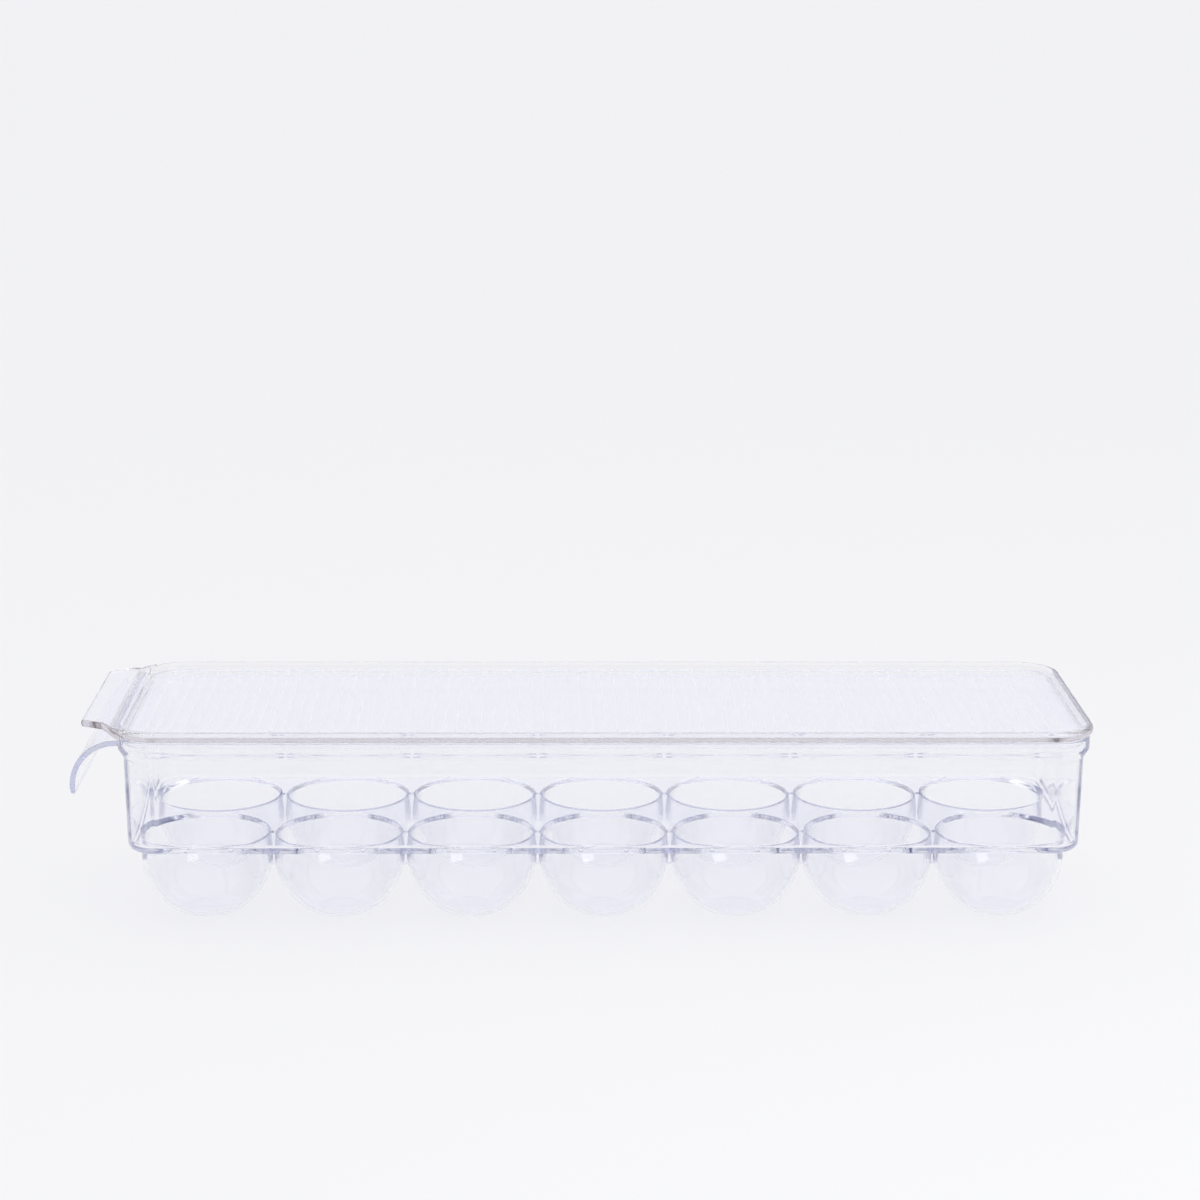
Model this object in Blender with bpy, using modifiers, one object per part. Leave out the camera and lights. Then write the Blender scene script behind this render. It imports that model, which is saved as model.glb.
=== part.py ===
"""Lidded egg tray in clear plastic: two rows of egg cups, a pull handle and a lift-off lid.

Metres, +Z up, X along the tray with the pull handle at -X. The origin is the centre of the whole
object's footprint, on the surface that it stands on. The rows are front (-Y) and rear (+Y), and
their cups are numbered from the handle end.
"""
import math

import bmesh
import bpy
from mathutils import Matrix, Vector

MM = 0.001
GAP = 0.3 * MM

# Egg cups: a short round neck over a sphere that is cut flat where the cup stands.
CUPS_PER_ROW = 7
CUP_PITCH = 49 * MM
CUP_INNER_RADIUS = 22.8 * MM
CUP_WALL = 1.4 * MM
BOWL_CENTRE_Z = 21.9 * MM
NECK_TOP_Z = 28.3 * MM
TURN_STEPS = 24
BOWL_STEPS = 5

# Floor between the cups, as one square plate round each cup.
FLOOR_TOP_Z = 30.4 * MM
FLOOR_BOTTOM_Z = 28.0 * MM

# Side wall, measured to its outer face just above the rounding at its foot.
WALL_HALF_LENGTH = 174.35 * MM
WALL_HALF_WIDTH = 49.6 * MM
WALL_CORNER_RADIUS = 12 * MM
WALL_THICKNESS = 1.8 * MM
WALL_FOOT_Z = 28.4 * MM
WALL_FOOT_ROUND = 3 * MM
WALL_TOP_Z = 63.8 * MM
WALL_DRAFT = 0.65 * MM

# Rim: a band that stands out from the wall, with a ledge inside it.
RIM_STEP = 2.7 * MM
RIM_THICKNESS = 1.8 * MM
RIM_BAND_Z = 65.8 * MM
RIM_LEDGE_Z = 67.2 * MM
RIM_TOP_Z = 71.0 * MM

# Lid: a flat panel in a raised border, with a lip that drops inside the rim.
LID_HALF_LENGTH = 178.2 * MM
LID_HALF_WIDTH = 53.4 * MM
LID_CORNER_RADIUS = 15.8 * MM
LID_BOTTOM_Z = 71.3 * MM
LID_TOP_Z = 75.4 * MM
LID_PANEL_Z = 73.5 * MM
LID_BORDER = 3.5 * MM
LID_EDGE_ROUND = 1.9 * MM
LIP_CLEARANCE = 0.4 * MM
LIP_THICKNESS = 1.4 * MM
LIP_BOTTOM_Z = 68.6 * MM

# Grip tab: a level tongue over the pull handle, wider towards the lid. Reach and half width, in mm.
TAB_SIDE = ((178.5, 44.2), (179.3, 42.9), (180.4, 41.7), (182.9, 40.0), (186.7, 38.1), (189.6, 36.9))
TAB_TIP_HALF_WIDTH = 35.6 * MM
TAB_TIP_REACH = 191.1 * MM
TAB_TIP_BOW = 0.6 * MM
TAB_TOP_Z = 76.0 * MM
TAB_THICKNESS = 2.7 * MM
TAB_EDGE_ROUND = 0.8 * MM

# Pull handle: a strip that leaves the rim flat, curls down and ends in a bevelled edge.
HANDLE_HALF_WIDTH = 41.5 * MM
HANDLE_REACH = 194.5 * MM
HANDLE_TOP_Z = 69.4 * MM
HANDLE_RADIUS = 17 * MM
HANDLE_THICKNESS = 2 * MM
HANDLE_TIP_Z = 49.4 * MM
HANDLE_STEPS = 9

CORNER_STEPS = 8
TAB_TIP_STEPS = 8
EDGE_STEPS = 3
WELD = 0.01 * MM

# The handle reaches further than the lid does, which puts the tray's own centre at +X.
TRAY_X = (HANDLE_REACH - LID_HALF_LENGTH) / 2


def clear_scene():
    for obj in list(bpy.data.objects):
        bpy.data.objects.remove(obj, do_unlink=True)


def new_collection(name):
    collection = bpy.data.collections.new(name)
    bpy.context.scene.collection.children.link(collection)
    return collection


def new_empty(name, collection, parent=None, z=0.0, x=0.0):
    empty = bpy.data.objects.new(name, None)
    empty.location = (x, 0, z)
    empty.parent = parent
    collection.objects.link(empty)
    return empty


def clear_plastic(name, colour, roughness):
    material = bpy.data.materials.new(name)
    material.use_nodes = True
    shader = material.node_tree.nodes["Principled BSDF"]
    shader.inputs["Base Color"].default_value = (*colour, 1)
    shader.inputs["Roughness"].default_value = roughness
    shader.inputs["Metallic"].default_value = 0
    shader.inputs["Transmission Weight"].default_value = 1
    return material


def arc(centre, radius, start, end, steps):
    """Points on a circle from one angle to another, in degrees, both ends included."""
    angles = [math.radians(start + (end - start) * i / steps) for i in range(steps + 1)]
    return [(centre[0] + radius * math.cos(a), centre[1] + radius * math.sin(a)) for a in angles]


def rounded_rectangle(half_x, half_y, radius):
    """The outline of a rectangle with round corners, anticlockwise."""
    x = half_x - radius
    y = half_y - radius
    points = []
    for corner, start in (((x, y), 0), ((-x, y), 90), ((-x, -y), 180), ((x, -y), 270)):
        points += arc(corner, radius, start, start + 90, CORNER_STEPS)
    return points


def closed_curve(name, points):
    curve = bpy.data.curves.new(name, "CURVE")
    curve.dimensions = "2D"
    curve.fill_mode = "NONE"
    spline = curve.splines.new("POLY")
    spline.points.add(len(points) - 1)
    for spline_point, (x, y) in zip(spline.points, points):
        spline_point.co = (x, y, 0, 1)
    spline.use_cyclic_u = True
    return bpy.data.objects.new(name, curve)


def extruded(name, points, half_depth):
    """A flat outline with thickness, centred on its own plane."""
    obj = closed_curve(name, points)
    obj.data.fill_mode = "BOTH"
    obj.data.extrude = half_depth
    return obj


def welded_mesh(obj, collection):
    """The same shape as a closed mesh object, in the same place, in place of a curve object."""
    collection.objects.link(obj)
    graph = bpy.context.evaluated_depsgraph_get()
    mesh = bpy.data.meshes.new_from_object(obj.evaluated_get(graph))
    shape = bmesh.new()
    shape.from_mesh(mesh)
    bmesh.ops.remove_doubles(shape, verts=shape.verts, dist=WELD)
    bmesh.ops.recalc_face_normals(shape, faces=shape.faces)
    shape.to_mesh(mesh)
    shape.free()
    name = obj.name
    place = obj.matrix_world.copy()
    bpy.data.objects.remove(obj, do_unlink=True)
    solid = bpy.data.objects.new(name, mesh)
    solid.matrix_world = place
    collection.objects.link(solid)
    return solid


def slab(name, half_x, half_y, radius, low_z, high_z, collection):
    """A flat plate with round corners between two heights."""
    obj = extruded(name, rounded_rectangle(half_x, half_y, radius), (high_z - low_z) / 2)
    obj.location.z = (high_z + low_z) / 2
    return welded_mesh(obj, collection)


def swept_ring(name, path, section, collection):
    """A section of (distance outwards, height) points, carried round an anticlockwise path.

    A bevelled curve carries its section's +X on the path's left, which here is the inside.
    """
    profile = closed_curve(name + "_section", [(-outwards, height) for outwards, height in section])
    ring = closed_curve(name, path)
    ring.data.bevel_mode = "OBJECT"
    ring.data.bevel_object = profile
    solid = welded_mesh(ring, collection)
    bpy.data.objects.remove(profile, do_unlink=True)
    return solid


def turned(name, profile, collection):
    """A solid turned about its own Z axis, from a profile that runs down its outer side."""
    mesh = bpy.data.meshes.new(name)
    mesh.from_pydata([(radius, 0, z) for radius, z in profile], [(i, i + 1) for i in range(len(profile) - 1)], [])
    obj = bpy.data.objects.new(name, mesh)
    collection.objects.link(obj)
    screw = obj.modifiers.new("turn", "SCREW")
    screw.steps = TURN_STEPS
    screw.render_steps = TURN_STEPS
    screw.use_merge_vertices = True
    screw.merge_threshold = WELD
    return obj


def block(name, low, high, collection):
    """A box between two opposite corners."""
    mesh = bpy.data.meshes.new(name)
    shape = bmesh.new()
    middle = (Vector(low) + Vector(high)) / 2
    size = Matrix.Diagonal((*(Vector(high) - Vector(low)), 1))
    bmesh.ops.create_cube(shape, size=1, matrix=Matrix.Translation(middle) @ size)
    shape.to_mesh(mesh)
    shape.free()
    obj = bpy.data.objects.new(name, mesh)
    collection.objects.link(obj)
    return obj


def boolean(obj, operation, other):
    modifier = obj.modifiers.new(operation.lower(), "BOOLEAN")
    modifier.operation = operation
    modifier.solver = "EXACT"
    modifier.object = other


def set_cutter(obj, parent):
    obj.parent = parent
    obj.hide_render = True
    obj.display_type = "WIRE"


def finish_part(obj, parent, material):
    obj.parent = parent
    obj.data.materials.clear()
    obj.data.materials.append(material)
    obj.data.shade_smooth()
    obj.data.set_sharp_from_angle(angle=math.radians(35))


def bowl_profile(radius, base_z, top_z):
    """Half section of a solid bowl, from the top of its neck to the middle of its flat base."""
    base_angle = -math.degrees(math.asin((BOWL_CENTRE_Z - base_z) / radius))
    sphere = arc((0, BOWL_CENTRE_Z), radius, 0, base_angle, BOWL_STEPS)
    return [(0, top_z), (radius, top_z), *sphere, (0, base_z)]


def make_floor_plate(name, cup_x, row_side, outline, parent, cutters):
    """The square of floor round one cup. The floor's outline trims it beside the wall."""
    half = CUP_PITCH / 2 - GAP / 2
    last = (CUPS_PER_ROW - 1) / 2 * CUP_PITCH
    left = cup_x - (CUP_PITCH if cup_x < GAP - last else half)
    right = cup_x + (CUP_PITCH if cup_x > last - GAP else half)
    near_y = row_side * GAP / 2
    far_y = row_side * WALL_HALF_WIDTH
    low = (left, min(near_y, far_y), FLOOR_BOTTOM_Z)
    high = (right, max(near_y, far_y), FLOOR_TOP_Z)
    plate = block(name, low, high, cutters)
    boolean(plate, "INTERSECT", outline)
    set_cutter(plate, parent)
    return plate


def make_egg_cup(row, row_side, number, outline, parent, parts, cutters, material):
    """A bowl below a square of floor, hollowed through both."""
    name = f"egg_cup_{row}_{number}"
    cup_x = (number - (CUPS_PER_ROW + 1) / 2) * CUP_PITCH
    cup_y = row_side * CUP_PITCH / 2
    cup = turned(name, bowl_profile(CUP_INNER_RADIUS + CUP_WALL, 0, NECK_TOP_Z), parts)
    hollow = turned(name + "_hollow", bowl_profile(CUP_INNER_RADIUS, CUP_WALL, FLOOR_TOP_Z + CUP_WALL), cutters)
    for obj in (cup, hollow):
        obj.location = (cup_x, cup_y, 0)
    set_cutter(hollow, parent)
    plate = make_floor_plate(name + "_plate", cup_x, row_side, outline, parent, cutters)
    boolean(cup, "UNION", plate)
    boolean(cup, "DIFFERENCE", hollow)
    finish_part(cup, parent, material)


def make_egg_cups(parent, parts, cutters, material):
    inset = WALL_THICKNESS + GAP
    outline = slab(
        "floor_outline", WALL_HALF_LENGTH - inset, WALL_HALF_WIDTH - inset, WALL_CORNER_RADIUS - inset,
        FLOOR_BOTTOM_Z - MM, FLOOR_TOP_Z + MM, cutters)
    set_cutter(outline, parent)
    for row, row_side in (("front", -1), ("rear", 1)):
        for number in range(1, CUPS_PER_ROW + 1):
            make_egg_cup(row, row_side, number, outline, parent, parts, cutters, material)


def make_side_wall(parent, parts, material):
    """Wall and rim in one ring. Its foot is rounded, and its lower edge clears the cups' necks."""
    foot_centre = (-WALL_FOOT_ROUND, WALL_FOOT_Z + WALL_FOOT_ROUND)
    foot_start = -math.degrees(math.acos((WALL_FOOT_ROUND - WALL_THICKNESS) / WALL_FOOT_ROUND))
    section = [
        *arc(foot_centre, WALL_FOOT_ROUND, foot_start, 0, EDGE_STEPS),
        (WALL_DRAFT, WALL_TOP_Z),
        (RIM_STEP, RIM_BAND_Z),
        (RIM_STEP, RIM_TOP_Z),
        (RIM_STEP - RIM_THICKNESS, RIM_TOP_Z),
        (RIM_STEP - RIM_THICKNESS, RIM_LEDGE_Z),
        (WALL_DRAFT - WALL_THICKNESS, RIM_LEDGE_Z),
    ]
    path = rounded_rectangle(WALL_HALF_LENGTH, WALL_HALF_WIDTH, WALL_CORNER_RADIUS)
    wall = swept_ring("side_wall", path, section, parts)
    finish_part(wall, parent, material)


def make_pull_handle(parent, parts, material):
    """The handle's side view, as wide as the straight part of the tray's end."""
    root = -(WALL_HALF_LENGTH + RIM_STEP + GAP)
    centre = (-(HANDLE_REACH - HANDLE_RADIUS), HANDLE_TOP_Z - HANDLE_RADIUS)
    inner_radius = HANDLE_RADIUS - HANDLE_THICKNESS
    outline = [
        (root, HANDLE_TOP_Z),
        *arc(centre, HANDLE_RADIUS, 90, 180, HANDLE_STEPS),
        (-HANDLE_REACH, centre[1] - HANDLE_THICKNESS),
        (-HANDLE_REACH + HANDLE_THICKNESS * 0.8, HANDLE_TIP_Z),
        (-HANDLE_REACH + HANDLE_THICKNESS, HANDLE_TIP_Z),
        *arc(centre, inner_radius, 180, 90, HANDLE_STEPS),
        (root, HANDLE_TOP_Z - HANDLE_THICKNESS),
    ]
    handle = extruded("pull_handle", outline, HANDLE_HALF_WIDTH)
    handle.rotation_euler.x = math.pi / 2
    handle = welded_mesh(handle, parts)
    finish_part(handle, parent, material)


def make_lid(parent, parts, cutters, material):
    """The lid about its own slide axis: a plate with a recess in its top and a lip below."""
    lid = slab("lid", LID_HALF_LENGTH, LID_HALF_WIDTH, LID_CORNER_RADIUS, 0, LID_TOP_Z - LID_BOTTOM_Z, parts)
    rounding = lid.modifiers.new("edge_rounding", "BEVEL")
    rounding.width = LID_EDGE_ROUND
    rounding.segments = EDGE_STEPS
    rounding.limit_method = "ANGLE"
    rounding.angle_limit = math.radians(60)
    recess = slab(
        "lid_recess", LID_HALF_LENGTH - LID_BORDER, LID_HALF_WIDTH - LID_BORDER, LID_CORNER_RADIUS - LID_BORDER,
        LID_PANEL_Z - LID_BOTTOM_Z, LID_TOP_Z - LID_BOTTOM_Z + MM, cutters)
    outer = RIM_STEP - RIM_THICKNESS - LIP_CLEARANCE
    inner = outer - LIP_THICKNESS
    low_z = LIP_BOTTOM_Z - LID_BOTTOM_Z
    path = rounded_rectangle(WALL_HALF_LENGTH, WALL_HALF_WIDTH, WALL_CORNER_RADIUS)
    lip = swept_ring("lid_lip", path, [(inner, low_z), (outer, low_z), (outer, MM), (inner, MM)], cutters)
    for cutter in (recess, lip):
        set_cutter(cutter, parent)
    boolean(lid, "DIFFERENCE", recess)
    boolean(lid, "UNION", lip)
    finish_part(lid, parent, material)


def make_grip_tab(parent, parts, material):
    """The tab as a plate: its sides spread towards the lid, and its tip is bowed a little."""
    side = [(-reach * MM, half * MM) for reach, half in TAB_SIDE]
    tip = []
    for i in range(TAB_TIP_STEPS + 1):
        across = 1 - 2 * i / TAB_TIP_STEPS
        tip.append((-TAB_TIP_REACH + TAB_TIP_BOW * across * across, TAB_TIP_HALF_WIDTH * across))
    outline = [*side, *tip, *[(x, -y) for x, y in reversed(side)]]
    tab = extruded("lid_grip_tab", outline, TAB_THICKNESS / 2)
    tab.location.z = TAB_TOP_Z - TAB_THICKNESS / 2 - LID_BOTTOM_Z
    tab = welded_mesh(tab, parts)
    rounding = tab.modifiers.new("edge_rounding", "BEVEL")
    rounding.width = TAB_EDGE_ROUND
    rounding.segments = EDGE_STEPS
    rounding.limit_method = "ANGLE"
    rounding.angle_limit = math.radians(60)
    finish_part(tab, parent, material)


def main():
    clear_scene()
    parts = new_collection("egg_holder_tray")
    cutters = new_collection("cutters")
    tray_plastic = clear_plastic("tray_clear_plastic", (0.90, 0.91, 0.98), 0.05)
    handle_plastic = clear_plastic("handle_clear_plastic", (0.80, 0.82, 0.95), 0.05)
    lid_plastic = clear_plastic("lid_clear_plastic", (0.93, 0.93, 0.96), 0.08)
    tray = new_empty("tray_centre", parts, x=TRAY_X)
    lid_slide = new_empty("lid_slide", parts, parent=tray, z=LID_BOTTOM_Z)
    make_egg_cups(tray, parts, cutters, tray_plastic)
    make_side_wall(tray, parts, tray_plastic)
    make_pull_handle(tray, parts, handle_plastic)
    make_lid(lid_slide, parts, cutters, lid_plastic)
    make_grip_tab(lid_slide, parts, lid_plastic)


main()
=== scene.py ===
"""Looks of the clear plastic egg tray: one moulded tray and one moulded lid, standing on a pale floor."""

import math

import bmesh
import bpy
from mathutils import Matrix, Vector


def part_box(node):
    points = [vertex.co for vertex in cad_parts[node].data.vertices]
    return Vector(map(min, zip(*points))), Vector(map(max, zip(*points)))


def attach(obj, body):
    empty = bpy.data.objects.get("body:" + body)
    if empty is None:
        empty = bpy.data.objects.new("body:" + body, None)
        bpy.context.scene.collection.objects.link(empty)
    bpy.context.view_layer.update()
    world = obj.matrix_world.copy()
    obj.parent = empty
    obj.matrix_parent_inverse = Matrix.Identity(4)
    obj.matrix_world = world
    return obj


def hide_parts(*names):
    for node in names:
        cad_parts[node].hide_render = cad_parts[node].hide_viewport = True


# The scene is in metres and degrees, and sizes are written in millimetres times MM.
MM = 0.001

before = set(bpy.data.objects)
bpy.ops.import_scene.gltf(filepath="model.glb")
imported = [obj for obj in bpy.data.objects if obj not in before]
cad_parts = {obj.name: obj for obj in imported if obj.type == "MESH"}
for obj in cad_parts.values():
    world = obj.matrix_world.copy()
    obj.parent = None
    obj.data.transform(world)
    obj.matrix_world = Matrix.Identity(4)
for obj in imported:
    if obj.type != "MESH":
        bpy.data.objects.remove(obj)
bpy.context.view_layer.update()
wall_low, wall_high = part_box("side_wall")
lid_low, lid_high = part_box("lid")
tab_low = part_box("lid_grip_tab")[0]
handle_low, handle_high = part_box("pull_handle")
cup_2_low, cup_2_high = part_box("egg_cup_front_2")
cup_6_low, cup_6_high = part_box("egg_cup_front_6")

# The tray's own middle, off the frame's origin because the handle is at one end only.
TRAY_X = (lid_low.x + lid_high.x) / 2
TRAY_CENTRE = Vector((TRAY_X, 0, 0))

# Egg cups. Cups 2 and 6 set the pitch, because the nodes of the end cups carry a wider piece of floor.
# A bowl's inside and outside are spheres down to BOWL_SPHERE_END degrees below level, and then bend into a
# flat base.
ROW_SIDES = (-1, 1)
CUPS_PER_ROW = 7
CUP_PITCH = ((cup_6_low.x + cup_6_high.x) - (cup_2_low.x + cup_2_high.x)) / 2 / 4
LAST_CUP_REACH = 2.5 * CUP_PITCH
BOWL_CENTRE_Z = 21.9 * MM
BOWL_INNER_RADIUS = 22.75 * MM
BOWL_OUTER_RADIUS = 24.15 * MM
BOWL_SPHERE_END = 58
BOWL_FLOOR = 1.4 * MM
BOWL_SEGMENTS = 144
BOWL_STEPS = 20
NECK_RADIUS = 23.45 * MM
NECK_INTO_FLOOR = 0.3 * MM
RING_ROUND = 0.35 * MM
RING_DEPTHS = (1.4 * MM, 1.1 * MM, 0.8 * MM, 0.5 * MM)
RING_WALL_REACH = 23.32 * MM
END_RING_SPREAD = 0.078
END_RING_DEPTH = 1.3 * MM

# Wall and rim. The rim is stepped out from the wall by an S bend, lower on the outside than on the inside.
FLOOR_TOP_Z = cup_2_high.z
FLOOR_BOTTOM_Z = FLOOR_TOP_Z - 2 * MM
RIM_STEP = 2.7 * MM
RIM_THICKNESS = 1.8 * MM
RIM_TOP_Z = wall_high.z
RIM_EDGE_ROUND = 0.35 * MM
OUTER_BEND_Z = (62.3 * MM, 67 * MM)
INNER_BEND_Z = (63.2 * MM, 68 * MM)
BEND_STEPS = 12
WALL_DRAFT = 0.65 * MM
WALL_THICKNESS = 1.8 * MM
WALL_HALF_LENGTH = (wall_high.x - wall_low.x) / 2 - RIM_STEP
WALL_HALF_WIDTH = (wall_high.y - wall_low.y) / 2 - RIM_STEP
WALL_CORNER_RADIUS = 12 * MM
INNER_CORNER_SPARE = -1.3 * MM
FOOT_ROUND = 2.4 * MM
INNER_FOOT_ROUND = 2.2 * MM
CORNER_STEPS = 20

# How far a cutting solid reaches past the face it opens, and the angles from which edges are eased or sharp.
CUT_SPARE = 1 * MM
BEVEL_ANGLE = 50
SHARP_ANGLE = 32

# Webs that join neighbouring bowls under the floor.
WEB_HALF_WIDTH = 1.3 * MM
WEB_HALF_LENGTH = 1.6 * MM
WEB_TIP_HALF_LENGTH = 0.9 * MM
WEB_BOTTOM_Z = 17.6 * MM
WEB_TIP_HEIGHT = 1 * MM

# Pull handle.
HANDLE_RADIUS = 17 * MM
HANDLE_THICKNESS = 2 * MM
HANDLE_INTO_RIM = 0.9 * MM
HANDLE_EDGE_ROUND = 0.3 * MM
HANDLE_STEPS = 40

# Lid. Its border is a bead, round outside and eased inside, and the panel between is thinner.
LID_HALF_LENGTH = (lid_high.x - lid_low.x) / 2
LID_HALF_WIDTH = (lid_high.y - lid_low.y) / 2
LID_CORNER_RADIUS = 15.8 * MM
LID_BOTTOM_Z = 71.3 * MM
LID_TOP_Z = lid_high.z
LID_PANEL_Z = LID_TOP_Z - 2.2 * MM
LID_BORDER = 3.5 * MM
BEAD_LOW_ROUND = 2.6 * MM
BEAD_HIGH_ROUND = 1.3 * MM
BEAD_EDGE = 1.2 * MM
BEAD_FILLET = 0.25 * MM
PANEL_UNDER_Z = 71.8 * MM
LIP_BOTTOM_Z = lid_low.z
LIP_THICKNESS = 1.4 * MM
LIP_CLEARANCE = 0.4 * MM
LIP_OVERLAP = 0.8 * MM
LIP_EASE = 0.3 * MM

# Ribs on the panel: low waves, with crowns a little matte over RIB_CROWN of their pitch to each side.
RIB_PITCH = 4.5 * MM
RIB_WIDTH = 1.8 * MM
RIB_HEIGHT = 0.02 * MM
RIB_SUNK = 0.3 * MM
RIB_EDGE_SUNK = 0.01 * MM
RIB_END_TAPER = 0.5 * MM
RIB_END_SHRINK = 0.2
RIB_END_GAP = 1.5 * MM
RIB_SIDE_GAP = 1 * MM
RIB_STEPS = 10
RIB_CROWN = 0.17
RIB_ROUGHNESS = 0.05
RIB_CLEARNESS = 0.83

# Grip tab. Distances in the tuples are past the lid's end, and a negative one is inside it.
TAB_TOP_Z = 76 * MM
TAB_THICKNESS = 2.7 * MM
TAB_HALF_TIP = 36.9 * MM
TAB_TAPER = 0.4
TAB_TIP_ROUND = 1.3 * MM
TAB_TIP_INSET = 1.5
TAB_BOW = 0.6 * MM
TAB_BOW_LENGTH = 12 * MM
TAB_EDGE_ROUND = 0.5 * MM
TAB_FLARE = 6.2 * MM
TAB_FLARE_PLACE = 0.1 * MM
TAB_FLARE_LENGTH = 1.7 * MM
TAB_TOP_RISE = (0.4 * MM, 3.6 * MM)
TAB_UNDER_RISE = (-2.6 * MM, 5.2 * MM)
TAB_PAST_BEAD = 1 * MM
TAB_ROOT_BELOW_TOP = 0.04 * MM
TAB_ROOT_ABOVE_BOTTOM = 0.1 * MM
TAB_TIP_STEPS = 5
TAB_STEPS = 36

# Plastic: a tint at each surface, and a colour and density that darken long paths through it.
TRAY_TINT = (0.982, 0.985, 0.997)
TRAY_ABSORB = (0.44, 0.47, 0.68)
TRAY_DENSITY = 8.5
LID_TINT = (0.981, 0.981, 0.995)
LID_ABSORB = (0.56, 0.50, 0.52)
LID_DENSITY = 8
PLASTIC_IOR = 1.5
PLASTIC_ROUGHNESS = (0.02, 0.05)
HAZE_LEVELS = (0.3, 0.7)
HAZE_SCALE = 45
WAVE_SCALE = 60
WAVE_STRETCH = (0.5, 1, 2.2)
SHADOW_COLOUR = (0.992, 0.992, 0.996, 1)
TRAY_WAVINESS = 0.05
LID_WAVINESS = 0.01

# Light.
ROOM_COLOUR = (0.42, 0.42, 0.47, 1)
SWEEP_COLOUR = (0.74, 0.75, 0.83, 1)
FLOOR_COLOUR = (0.93, 0.93, 0.925, 1)
WORLD_STRENGTH = 1.17
# Edges of clear plastic pass light on many times, and turn black with fewer bounces.
CLEAR_BOUNCES = 192
SHADOW_BOUNCES = 32

SOFTBOX_PLACE = Vector((0.6, -0.86, 0.62))
SOFTBOX_TARGET = Vector((0, 0, 0.03))
SOFTBOX_SIZE = (0.5, 0.36)
SOFTBOX_POWER = 1.2

# Camera, placed from the tray's centre.
CAMERA_PLACE = Vector((-0.0211, -1.0832, 0.3610))
CAMERA_PAN = -1.047
CAMERA_DOWN = 12.928
CAMERA_ROLL = 0.258
CAMERA_LENS = 89.3


def arc(centre, radius, start, end, steps):
    """Points on a circle from one angle to another, in degrees, both ends included."""
    angles = [math.radians(start + (end - start) * i / steps) for i in range(steps + 1)]
    return [(centre[0] + radius * math.cos(a), centre[1] + radius * math.sin(a)) for a in angles]


def step_down(value, start, end):
    """1 before start, 0 after end, and a smooth S between them."""
    t = min(max((value - start) / (end - start), 0), 1)
    return 1 - t * t * (3 - 2 * t)


def s_bend(start, end):
    """Points of a smooth S between two heights, upright at both ends."""
    points = []
    for i in range(BEND_STEPS + 1):
        t = i / BEND_STEPS
        across = start[0] + (end[0] - start[0]) * t * t * (3 - 2 * t)
        points.append((across, start[1] + (end[1] - start[1]) * t))
    return points


def rounded_loop(half_x, half_y, radius, z):
    """A rectangle with round corners at one height, anticlockwise from above."""
    x = half_x - radius
    y = half_y - radius
    points = []
    for corner, start in (((x, y), 0), ((-x, y), 90), ((-x, -y), 180), ((x, -y), 270)):
        points += arc(corner, radius, start, start + 90, CORNER_STEPS)
    return [Vector((px, py, z)) for px, py in points]


def wall_loops(section, corner_spare=0):
    """Loops round the tray's wall, from (distance outwards, height) points."""
    loops = []
    for outwards, z in section:
        radius = WALL_CORNER_RADIUS + outwards + corner_spare
        loop = rounded_loop(WALL_HALF_LENGTH + outwards, WALL_HALF_WIDTH + outwards, radius, z)
        loops.append([TRAY_CENTRE + point for point in loop])
    return loops


def lid_loops(section):
    """Loops round the lid, from (distance inwards, height) points."""
    loops = []
    for inwards, z in section:
        radius = LID_CORNER_RADIUS - inwards
        loop = rounded_loop(LID_HALF_LENGTH - inwards, LID_HALF_WIDTH - inwards, radius, z)
        loops.append([TRAY_CENTRE + point for point in loop])
    return loops


def new_object(name, data):
    obj = bpy.data.objects.new(name, data)
    bpy.context.scene.collection.objects.link(obj)
    return obj


def add_loft(shape, loops, closed=False):
    """Quads between loops of points, from the lowest up, with the two end loops filled or joined."""
    rings = [[shape.verts.new(point) for point in loop] for loop in loops]
    pairs = list(zip(rings, rings[1:]))
    if closed:
        pairs.append((rings[-1], rings[0]))
    for below, above in pairs:
        for i in range(len(below)):
            j = (i + 1) % len(below)
            shape.faces.new((below[i], below[j], above[j], above[i]))
    if not closed:
        shape.faces.new(reversed(rings[0]))
        shape.faces.new(rings[-1])


def solid(name, *lofts, closed=False):
    """A mesh object of one or more closed bodies that don't touch each other."""
    shape = bmesh.new()
    for loops in lofts:
        add_loft(shape, loops, closed)
    bmesh.ops.recalc_face_normals(shape, faces=shape.faces)
    mesh = bpy.data.meshes.new(name)
    shape.to_mesh(mesh)
    shape.free()
    return new_object(name, mesh)


def turned_loops(profile, centre, wall_side=0):
    """Loops of a turned body from (radius, height) points, from the lowest up.

    With a wall side, no point reaches past the tray's wall on that side of the row, and the rings at the
    row's ends spread towards the end walls.
    """
    from_middle = centre.x - TRAY_X
    at_end = wall_side != 0 and abs(from_middle) > LAST_CUP_REACH
    loops = []
    for radius, z in profile:
        spread = 1 + END_RING_SPREAD * (1 - step_down(z, FLOOR_TOP_Z - END_RING_DEPTH, FLOOR_TOP_Z))
        loop = []
        for i in range(BOWL_SEGMENTS):
            angle = 2 * math.pi * i / BOWL_SEGMENTS
            x = radius * math.cos(angle)
            y = radius * math.sin(angle)
            if at_end and x * from_middle > 0:
                x *= spread
            if wall_side * y > RING_WALL_REACH:
                y = wall_side * RING_WALL_REACH
            loop.append(centre + Vector((x, y, z)))
        loops.append(loop)
    return loops


def extruded(name, outline, half_width, edge_round):
    """A side view of (x, z) points carried across the tray, with its long edges' ends eased."""
    sides = [[Vector((x, y, z)) for x, z in outline] for y in (-half_width, half_width)]
    obj = solid(name, sides)
    apply_bevel(obj, edge_round)
    return obj


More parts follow.
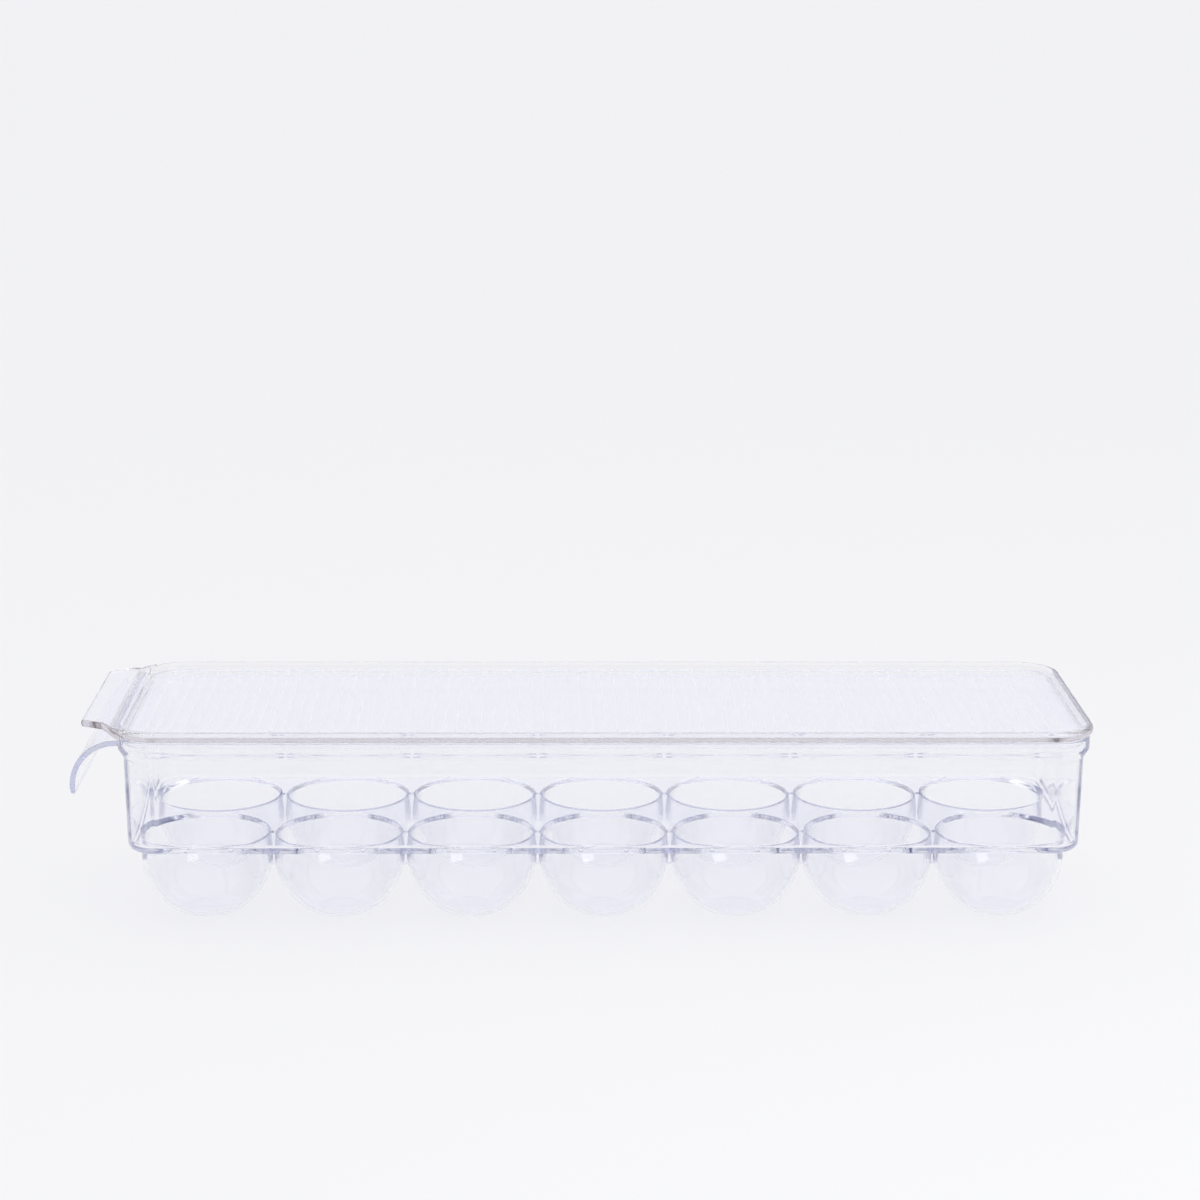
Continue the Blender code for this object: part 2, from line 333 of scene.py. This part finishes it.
def bake(obj):
    """Applies the object's modifiers."""
    graph = bpy.context.evaluated_depsgraph_get()
    mesh = bpy.data.meshes.new_from_object(obj.evaluated_get(graph))
    obj.modifiers.clear()
    obj.data = mesh


def apply_bevel(obj, width):
    bevel = obj.modifiers.new("edges", "BEVEL")
    bevel.width = width
    bevel.segments = 2
    bevel.limit_method = "ANGLE"
    bevel.angle_limit = math.radians(BEVEL_ANGLE)
    bake(obj)


def combine(obj, operation, others):
    """Adds other solids to this one, or cuts them out of it, and removes them."""
    for other in others:
        modifier = obj.modifiers.new("combine", "BOOLEAN")
        modifier.operation = operation
        modifier.solver = "MANIFOLD"
        modifier.object = other
        bake(obj)
        bpy.data.objects.remove(other, do_unlink=True)


def cup_centres(parity):
    """Every second cup, chequered, so that bowls of one group never touch each other."""
    middle = (CUPS_PER_ROW - 1) / 2
    for row, side in enumerate(ROW_SIDES):
        for i in range(CUPS_PER_ROW):
            if (i + row) % 2 == parity:
                yield TRAY_CENTRE + Vector(((i - middle) * CUP_PITCH, side * CUP_PITCH / 2, 0)), side


def bowl_curve(radius, base_z):
    """A bowl's side view from the edge of its flat base up to its widest level, with a bend between."""
    centre = (0, BOWL_CENTRE_Z)
    sphere = arc(centre, radius, -BOWL_SPHERE_END, 0, BOWL_STEPS)
    turn = 90 - BOWL_SPHERE_END
    bend = (sphere[0][1] - base_z) / (1 - math.cos(math.radians(turn)))
    foot = sphere[0][0] - bend * math.sin(math.radians(turn))
    return [*arc((foot, base_z + bend), bend, -90, turn - 90, BOWL_STEPS // 2)[:-1], *sphere]


def bowl_outside():
    """Profile of a bowl's outside, from its base up into the floor."""
    return [*bowl_curve(BOWL_OUTER_RADIUS, 0), (NECK_RADIUS, FLOOR_TOP_Z - NECK_INTO_FLOOR)]


def bowl_inside():
    """Profile of the space in a bowl, from its base up to above the floor, with a rounded ring."""
    ring_centre = (BOWL_INNER_RADIUS + RING_ROUND, FLOOR_TOP_Z - RING_ROUND)
    ring = arc(ring_centre, RING_ROUND, 180, 96, 6)
    outer = ring[-1][0]
    return [
        *bowl_curve(BOWL_INNER_RADIUS, BOWL_FLOOR),
        *[(BOWL_INNER_RADIUS, FLOOR_TOP_Z - depth) for depth in RING_DEPTHS],
        *ring,
        (outer, FLOOR_TOP_Z + INNER_FOOT_ROUND + CUT_SPARE / 2),
    ]


def webs():
    """A small upright web between each two neighbouring bowls of a row."""
    section = (
        (WEB_BOTTOM_Z, WEB_TIP_HALF_LENGTH),
        (WEB_BOTTOM_Z + WEB_TIP_HEIGHT, WEB_HALF_LENGTH),
        ((FLOOR_TOP_Z + FLOOR_BOTTOM_Z) / 2, WEB_HALF_LENGTH),
    )
    corners = ((1, -1), (1, 1), (-1, 1), (-1, -1))
    bodies = []
    for centre, _ in [*cup_centres(0), *cup_centres(1)]:
        if centre.x > TRAY_X + LAST_CUP_REACH:
            continue
        middle = centre + Vector((CUP_PITCH / 2, 0, 0))
        bodies.append([
            [middle + Vector((x * half_length, y * WEB_HALF_WIDTH, z)) for x, y in corners]
            for z, half_length in section])
    return solid("webs", *bodies)


def tray_block():
    """The tray's outside without bowls or handle, as a solid block up to its rim."""
    low, high = OUTER_BEND_Z
    section = [
        *arc((-FOOT_ROUND, FLOOR_BOTTOM_Z + FOOT_ROUND), FOOT_ROUND, -90, 0, 10),
        *s_bend((WALL_DRAFT, low), (RIM_STEP, high)),
        *arc((RIM_STEP - RIM_EDGE_ROUND, RIM_TOP_Z - RIM_EDGE_ROUND), RIM_EDGE_ROUND, 0, 90, 4),
    ]
    return solid("clear_tray", wall_loops(section))


def tray_space():
    """The space inside the tray's wall, above its floor, and out of its open top."""
    low, high = INNER_BEND_Z
    inner = RIM_STEP - RIM_THICKNESS
    eased = inner + RIM_EDGE_ROUND
    foot_centre = (-WALL_THICKNESS - INNER_FOOT_ROUND, FLOOR_TOP_Z + INNER_FOOT_ROUND)
    section = [
        *arc(foot_centre, INNER_FOOT_ROUND, 274, 360, 8),
        *s_bend((WALL_DRAFT - WALL_THICKNESS, low), (inner, high)),
        *arc((eased, RIM_TOP_Z - RIM_EDGE_ROUND), RIM_EDGE_ROUND, 180, 92, 4),
        (eased, RIM_TOP_Z + CUT_SPARE),
    ]
    return solid("tray_space", wall_loops(section, INNER_CORNER_SPARE))


def handle_solid():
    """The pull handle: flat off the rim, curled down, its edge bevelled from the outside."""
    reach = handle_low.x
    top = handle_high.z
    centre_z = top - HANDLE_RADIUS
    centre = (reach + HANDLE_RADIUS, centre_z)
    root = TRAY_X - WALL_HALF_LENGTH - RIM_STEP + HANDLE_INTO_RIM
    inside = reach + HANDLE_THICKNESS
    bevelled_edge = [
        (reach + 0.15 * MM, centre_z - 1.6 * MM),
        (reach + 0.55 * MM, centre_z - 2.9 * MM),
        (inside - 0.45 * MM, handle_low.z),
        (inside - 0.1 * MM, handle_low.z + 0.1 * MM),
    ]
    outline = [
        (root, top),
        *arc(centre, HANDLE_RADIUS, 90, 180, HANDLE_STEPS),
        *bevelled_edge,
        *arc(centre, HANDLE_RADIUS - HANDLE_THICKNESS, 180, 90, HANDLE_STEPS),
        (root, top - HANDLE_THICKNESS),
    ]
    return extruded("handle", outline, (handle_high.y - handle_low.y) / 2, HANDLE_EDGE_ROUND)


def make_tray(material):
    tray = tray_block()
    bowls = []
    spaces = []
    for parity in (0, 1):
        cups = list(cup_centres(parity))
        bowls.append(solid("bowls", *[turned_loops(bowl_outside(), centre) for centre, _ in cups]))
        spaces.append(solid("spaces", *[turned_loops(bowl_inside(), centre, side) for centre, side in cups]))
    combine(tray, "UNION", [*bowls, webs(), handle_solid()])
    combine(tray, "DIFFERENCE", [tray_space(), *spaces])
    finish_piece(tray, material)
    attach(tray, "tray")
    cup_nodes = [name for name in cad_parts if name.startswith("egg_cup")]
    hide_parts("side_wall", "pull_handle", *cup_nodes)


def lid_block():
    """The lid's outside as a solid plate with rounded edges."""
    section = [
        *arc((BEAD_LOW_ROUND, LID_BOTTOM_Z + BEAD_LOW_ROUND), BEAD_LOW_ROUND, 270, 180, 8),
        *arc((BEAD_HIGH_ROUND, LID_TOP_Z - BEAD_HIGH_ROUND), BEAD_HIGH_ROUND, 180, 90, 10)[1:],
    ]
    return solid("ribbed_lid", lid_loops(section))


def lid_recess():
    """The shallow space over the panel, its foot filleted and its upper edge rounded over."""
    section = [
        *arc((LID_BORDER + BEAD_FILLET, LID_PANEL_Z + BEAD_FILLET), BEAD_FILLET, 270, 180, 5),
        *arc((LID_BORDER - BEAD_EDGE, LID_TOP_Z - BEAD_EDGE), BEAD_EDGE, 0, 84, 8),
        (LID_BORDER - BEAD_EDGE, LID_TOP_Z + CUT_SPARE),
    ]
    return solid("recess", lid_loops(section))


def lid_hollow():
    """The shallow space under the panel, inside the lip."""
    rim_inside = LID_HALF_LENGTH - WALL_HALF_LENGTH - RIM_STEP + RIM_THICKNESS
    inner = rim_inside + LIP_CLEARANCE + LIP_THICKNESS
    section = [
        (inner, LID_BOTTOM_Z - CUT_SPARE),
        (inner, PANEL_UNDER_Z - LIP_EASE),
        (inner + LIP_EASE, PANEL_UNDER_Z),
    ]
    return solid("hollow", lid_loops(section))


def lid_lip():
    """The lip that drops inside the tray's rim."""
    outer = RIM_STEP - RIM_THICKNESS - LIP_CLEARANCE
    inner = outer - LIP_THICKNESS
    high = LID_BOTTOM_Z + LIP_OVERLAP
    section = [
        (outer - LIP_EASE, LIP_BOTTOM_Z),
        (outer, LIP_BOTTOM_Z + LIP_EASE),
        (outer, high),
        (inner, high),
        (inner, LIP_BOTTOM_Z + LIP_EASE),
        (inner + LIP_EASE, LIP_BOTTOM_Z),
    ]
    return solid("lip", wall_loops(section), closed=True)


def rib_loop(outline, x, y, shrink):
    """A rib's outline at one place across the panel, with the part above the panel shrunk."""
    return [Vector((x + px, y, LID_PANEL_Z + pz * (shrink if pz > 0 else 1))) for px, pz in outline]


def lid_ribs():
    """Fine ribs across the panel, each a body of its own, sunk a little into it, shorter in the corners."""
    outline = [(RIB_WIDTH / 2, -RIB_SUNK)]
    for i in range(RIB_STEPS + 1):
        across = 1 - 2 * i / RIB_STEPS
        rise = RIB_HEIGHT / 2 * (1 + math.cos(math.pi * across))
        outline.append((RIB_WIDTH / 2 * across, rise - RIB_EDGE_SUNK))
    outline.append((-RIB_WIDTH / 2, -RIB_SUNK))

    half_panel = LID_HALF_LENGTH - LID_BORDER
    half_rib = LID_HALF_WIDTH - LID_BORDER - RIB_SIDE_GAP
    radius = LID_CORNER_RADIUS - LID_BORDER
    count = int((half_panel - RIB_END_GAP) / RIB_PITCH)
    ribs = []
    for i in range(-count, count + 1):
        x = i * RIB_PITCH
        into_corner = max(0, abs(x) + RIB_WIDTH - (half_panel - radius))
        end = half_rib - (radius - math.sqrt(max(0, radius * radius - into_corner * into_corner)))
        full = end - RIB_END_TAPER
        ribs.append([
            rib_loop(outline, TRAY_X + x, y, shrink)
            for y, shrink in ((-end, RIB_END_SHRINK), (-full, 1), (full, 1), (end, RIB_END_SHRINK))])
    return solid("ribs", *ribs)


def tab_section(reach, half_width, low_z, high_z, bow):
    """The tab's cut across its length, a rectangle with eased corners, bent back at its ends by the bow."""
    half_z = (high_z - low_z) / 2
    ease = min(TAB_EDGE_ROUND, half_z * 0.8)
    loop = []
    for side_y, side_z, start in ((1, 1, 0), (-1, 1, 90), (-1, -1, 180), (1, -1, 270)):
        corner = (side_y * (half_width - ease), side_z * (half_z - ease))
        loop += arc(corner, ease, start, start + 90, 4)
    middle_z = (high_z + low_z) / 2
    return [Vector((TRAY_X - reach + bow * (y / half_width) ** 2, y, middle_z + z)) for y, z in loop]


def tab_solid():
    """The grip tab: a level tongue with a round tip, whose sides and underside spread into the lid's edge."""
    reach = TRAY_X - tab_low.x
    root = LID_HALF_LENGTH - LID_BORDER - TAB_PAST_BEAD
    tip = reach - TAB_TIP_ROUND
    under_z = TAB_TOP_Z - TAB_THICKNESS
    root_low_z = LID_BOTTOM_Z + TAB_ROOT_ABOVE_BOTTOM
    root_high_z = LID_TOP_Z - TAB_ROOT_BELOW_TOP
    sections = []
    for i in range(TAB_TIP_STEPS + 1):
        turn = math.radians(90 * i / TAB_TIP_STEPS)
        shrink = TAB_TIP_ROUND * (1 - math.sin(turn))
        along = tip + TAB_TIP_ROUND * math.cos(turn)
        width = TAB_HALF_TIP - TAB_TIP_INSET * shrink
        sections.append(tab_section(along, width, under_z + shrink, TAB_TOP_Z - shrink, TAB_BOW))
    for i in range(1, TAB_STEPS + 1):
        along = tip + (root - tip) * i / TAB_STEPS
        past = along - LID_HALF_LENGTH
        flare = TAB_FLARE / (1 + math.exp((past - TAB_FLARE_PLACE) / TAB_FLARE_LENGTH))
        width = TAB_HALF_TIP + TAB_TAPER * (tip - along) + flare
        high_z = root_high_z + (TAB_TOP_Z - LID_TOP_Z) * (1 - step_down(past, *TAB_TOP_RISE))
        low_z = root_low_z + (under_z - root_low_z) * (1 - step_down(past, *TAB_UNDER_RISE))
        bow = TAB_BOW * min(max(past / TAB_BOW_LENGTH, 0), 1)
        sections.append(tab_section(along, width, low_z, high_z, bow))
    return solid("tab", sections)


def make_lid(material):
    lid = lid_block()
    combine(lid, "UNION", [tab_solid()])
    combine(lid, "DIFFERENCE", [lid_recess(), lid_hollow()])
    combine(lid, "UNION", [lid_lip(), lid_ribs()])
    finish_piece(lid, material)
    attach(lid, "lid")
    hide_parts("lid", "lid_grip_tab")


def finish_piece(obj, material):
    """Gives a moulding its plastic, and smooth shading with sharp edges."""
    obj.data.materials.clear()
    obj.data.materials.append(material)
    obj.data.shade_smooth()
    obj.data.set_sharp_from_angle(angle=math.radians(SHARP_ANGLE))
    weights = obj.modifiers.new("even_shading", "WEIGHTED_NORMAL")
    weights.mode = "FACE_AREA_WITH_ANGLE"
    weights.keep_sharp = True


def add_math(nodes, links, operation, first, second):
    """A Math node of two inputs, each a socket or a plain value."""
    node = nodes.new("ShaderNodeMath")
    node.operation = operation
    for socket, value in zip(node.inputs, (first, second)):
        if isinstance(value, (int, float)):
            socket.default_value = value
        else:
            links.new(value, socket)
    return node.outputs["Value"]


def add_range(nodes, links, value, from_min, from_max, to_min=0, to_max=1, interpolation="SMOOTHSTEP"):
    """A Map Range node, with soft ends unless told otherwise."""
    node = nodes.new("ShaderNodeMapRange")
    node.interpolation_type = interpolation
    node.inputs["From Min"].default_value = from_min
    node.inputs["From Max"].default_value = from_max
    node.inputs["To Min"].default_value = to_min
    node.inputs["To Max"].default_value = to_max
    links.new(value, node.inputs["Value"])
    return node.outputs["Result"]


def add_colour_mix(nodes, links, factor, colour, base=None):
    """A mix from the base socket, or from white, to a plain colour."""
    node = nodes.new("ShaderNodeMix")
    node.data_type = "RGBA"
    node.inputs["B"].default_value = colour
    if base is None:
        node.inputs["A"].default_value = (1, 1, 1, 1)
    else:
        links.new(base, node.inputs["A"])
    links.new(factor, node.inputs["Factor"])
    return node.outputs["Result"]


def rib_mask(nodes, links, place):
    """1 on the crowns of the panel's ribs, fading out near its edges, and 0 elsewhere."""
    split = nodes.new("ShaderNodeSeparateXYZ")
    links.new(place, split.inputs["Vector"])
    from_middle = add_math(nodes, links, "SUBTRACT", split.outputs["X"], TRAY_X)

    # Half a pitch is added, and whole ones, so that FRACT is 0.5 on a crown and never sees a negative number.
    pitches = add_math(nodes, links, "DIVIDE", from_middle, RIB_PITCH)
    part = add_math(nodes, links, "FRACT", add_math(nodes, links, "ADD", pitches, 1000.5), 0)
    off_crown = add_math(nodes, links, "ABSOLUTE", add_math(nodes, links, "SUBTRACT", part, 0.5), 0)
    mask = add_range(nodes, links, off_crown, RIB_CROWN, RIB_CROWN / 2)

    height = split.outputs["Z"]
    across = add_math(nodes, links, "ABSOLUTE", split.outputs["Y"], 0)
    lengthways = add_math(nodes, links, "ABSOLUTE", from_middle, 0)
    panel_side = LID_HALF_WIDTH - LID_BORDER
    panel_end = LID_HALF_LENGTH - LID_BORDER
    limits = (
        (height, LID_PANEL_Z - 0.3 * MM, LID_PANEL_Z - 0.1 * MM),
        (height, LID_PANEL_Z + 0.5 * MM, LID_PANEL_Z + 0.3 * MM),
        (across, panel_side - 1 * MM, panel_side - 5 * MM),
        (lengthways, panel_end - 3 * MM, panel_end - 6 * MM),
    )
    for value, outside, inside in limits:
        mask = add_math(nodes, links, "MULTIPLY", mask, add_range(nodes, links, value, outside, inside))
    return mask


def clear_plastic(name, tint, absorb, density, waviness, ribbed=False):
    """Clear moulded plastic that lets light through to the floor, and darkens along its edges."""
    material = bpy.data.materials.new(name)
    material.use_nodes = True
    nodes = material.node_tree.nodes
    links = material.node_tree.links
    shader = nodes["Principled BSDF"]
    output = nodes["Material Output"]
    shader.inputs["Base Color"].default_value = (*tint, 1)
    shader.inputs["Transmission Weight"].default_value = 1
    shader.inputs["IOR"].default_value = PLASTIC_IOR

    place = nodes.new("ShaderNodeTexCoord")
    haze = nodes.new("ShaderNodeTexNoise")
    haze.inputs["Scale"].default_value = HAZE_SCALE
    haze.inputs["Detail"].default_value = 4
    links.new(place.outputs["Object"], haze.inputs["Vector"])
    roughness = add_range(nodes, links, haze.outputs["Fac"], *HAZE_LEVELS, *PLASTIC_ROUGHNESS, "LINEAR")
    if ribbed:
        mask = rib_mask(nodes, links, place.outputs["Object"])
        matte = add_math(nodes, links, "MULTIPLY", mask, RIB_ROUGHNESS)
        roughness = add_math(nodes, links, "ADD", roughness, matte)
        clearness = add_range(nodes, links, mask, 0, 1, 1, RIB_CLEARNESS)
        links.new(clearness, shader.inputs["Transmission Weight"])
    links.new(roughness, shader.inputs["Roughness"])

    flow = nodes.new("ShaderNodeTexNoise")
    flow.inputs["Scale"].default_value = WAVE_SCALE
    flow.inputs["Detail"].default_value = 2
    stretch = nodes.new("ShaderNodeMapping")
    stretch.inputs["Scale"].default_value = WAVE_STRETCH
    links.new(place.outputs["Object"], stretch.inputs["Vector"])
    links.new(stretch.outputs["Vector"], flow.inputs["Vector"])
    bump = nodes.new("ShaderNodeBump")
    bump.inputs["Strength"].default_value = waviness
    bump.inputs["Distance"].default_value = 0.1 * MM
    links.new(flow.outputs["Fac"], bump.inputs["Height"])
    links.new(bump.outputs["Normal"], shader.inputs["Normal"])

    ray = nodes.new("ShaderNodeLightPath")
    clear = nodes.new("ShaderNodeBsdfTransparent")
    clear.inputs["Color"].default_value = SHADOW_COLOUR
    to_floor = add_math(nodes, links, "MAXIMUM", ray.outputs["Is Shadow Ray"], ray.outputs["Is Diffuse Ray"])
    mix = nodes.new("ShaderNodeMixShader")
    links.new(to_floor, mix.inputs["Fac"])
    links.new(shader.outputs["BSDF"], mix.inputs[1])
    links.new(clear.outputs["BSDF"], mix.inputs[2])
    links.new(mix.outputs["Shader"], output.inputs["Surface"])

    body = nodes.new("ShaderNodeVolumeAbsorption")
    body.inputs["Color"].default_value = (*absorb, 1)
    body.inputs["Density"].default_value = density
    links.new(body.outputs["Volume"], output.inputs["Volume"])
    return material


def make_floor():
    """A wide pale floor that fills the view, so no horizon shows behind the object."""
    bpy.ops.mesh.primitive_circle_add(
        vertices=96, radius=40, fill_type="NGON", location=(0, 0, -0.05 * MM))
    floor = bpy.context.object
    floor.name = "floor"
    material = bpy.data.materials.new("pale_floor")
    material.use_nodes = True
    shader = material.node_tree.nodes["Principled BSDF"]
    shader.inputs["Base Color"].default_value = FLOOR_COLOUR
    shader.inputs["Roughness"].default_value = 0.9
    shader.inputs["Specular IOR Level"].default_value = 0.1
    floor.data.materials.append(material)


def make_world():
    """A white sweep overhead, greyer low down behind, and the dimmer room at the front and sides."""
    world = bpy.data.worlds.new("studio")
    bpy.context.scene.world = world
    world.use_nodes = True
    # The ranges below are parts of a unit direction: Y runs away from the camera and Z up.
    nodes = world.node_tree.nodes
    links = world.node_tree.links
    place = nodes.new("ShaderNodeTexCoord")
    split = nodes.new("ShaderNodeSeparateXYZ")
    links.new(place.outputs["Generated"], split.inputs["Vector"])
    sideways = add_math(nodes, links, "ABSOLUTE", split.outputs["X"], 0)
    front = add_range(nodes, links, split.outputs["Y"], 0.35, -0.35)
    ends = add_range(nodes, links, sideways, 0.35, 0.7)
    low = add_range(nodes, links, split.outputs["Z"], 0.85, 0.35)
    low_behind = add_range(nodes, links, split.outputs["Z"], 0.65, 0.3)
    room = add_math(nodes, links, "MULTIPLY", add_math(nodes, links, "MAXIMUM", front, ends), low)
    sweep = add_colour_mix(nodes, links, low_behind, SWEEP_COLOUR)
    mixed = add_colour_mix(nodes, links, room, ROOM_COLOUR, sweep)
    background = nodes["Background"]
    background.inputs["Strength"].default_value = WORLD_STRENGTH
    links.new(mixed, background.inputs["Color"])


def make_softbox():
    """One dim window-like lamp, high on the camera's right, for the highlights in the bowls."""
    light = bpy.data.lights.new("right_softbox", "AREA")
    light.shape = "RECTANGLE"
    light.size, light.size_y = SOFTBOX_SIZE
    light.energy = SOFTBOX_POWER
    obj = new_object("right_softbox", light)
    obj.location = SOFTBOX_PLACE
    obj.rotation_euler = (SOFTBOX_TARGET - SOFTBOX_PLACE).to_track_quat("-Z", "Y").to_euler()


def make_camera():
    """A long lens, a little above the tray and left of its middle."""
    camera = bpy.data.cameras.new("camera")
    camera.lens = CAMERA_LENS
    obj = new_object("camera", camera)
    place = Matrix.Translation(TRAY_CENTRE + CAMERA_PLACE)
    turn = Matrix.Rotation(math.radians(CAMERA_PAN), 4, "Z")
    tilt = Matrix.Rotation(math.radians(90 - CAMERA_DOWN), 4, "X")
    roll = Matrix.Rotation(math.radians(CAMERA_ROLL), 4, "Z")
    obj.matrix_world = place @ turn @ tilt @ roll
    bpy.context.scene.camera = obj


def main():
    make_camera()
    make_floor()
    make_world()
    make_softbox()
    make_tray(clear_plastic("clear_tray_plastic", TRAY_TINT, TRAY_ABSORB, TRAY_DENSITY, TRAY_WAVINESS))
    make_lid(clear_plastic("clear_lid_plastic", LID_TINT, LID_ABSORB, LID_DENSITY, LID_WAVINESS, ribbed=True))
    scene = bpy.context.scene
    scene.view_settings.view_transform = "Standard"
    scene.cycles.max_bounces = CLEAR_BOUNCES
    scene.cycles.glossy_bounces = CLEAR_BOUNCES
    scene.cycles.transmission_bounces = CLEAR_BOUNCES
    scene.cycles.transparent_max_bounces = SHADOW_BOUNCES


main()
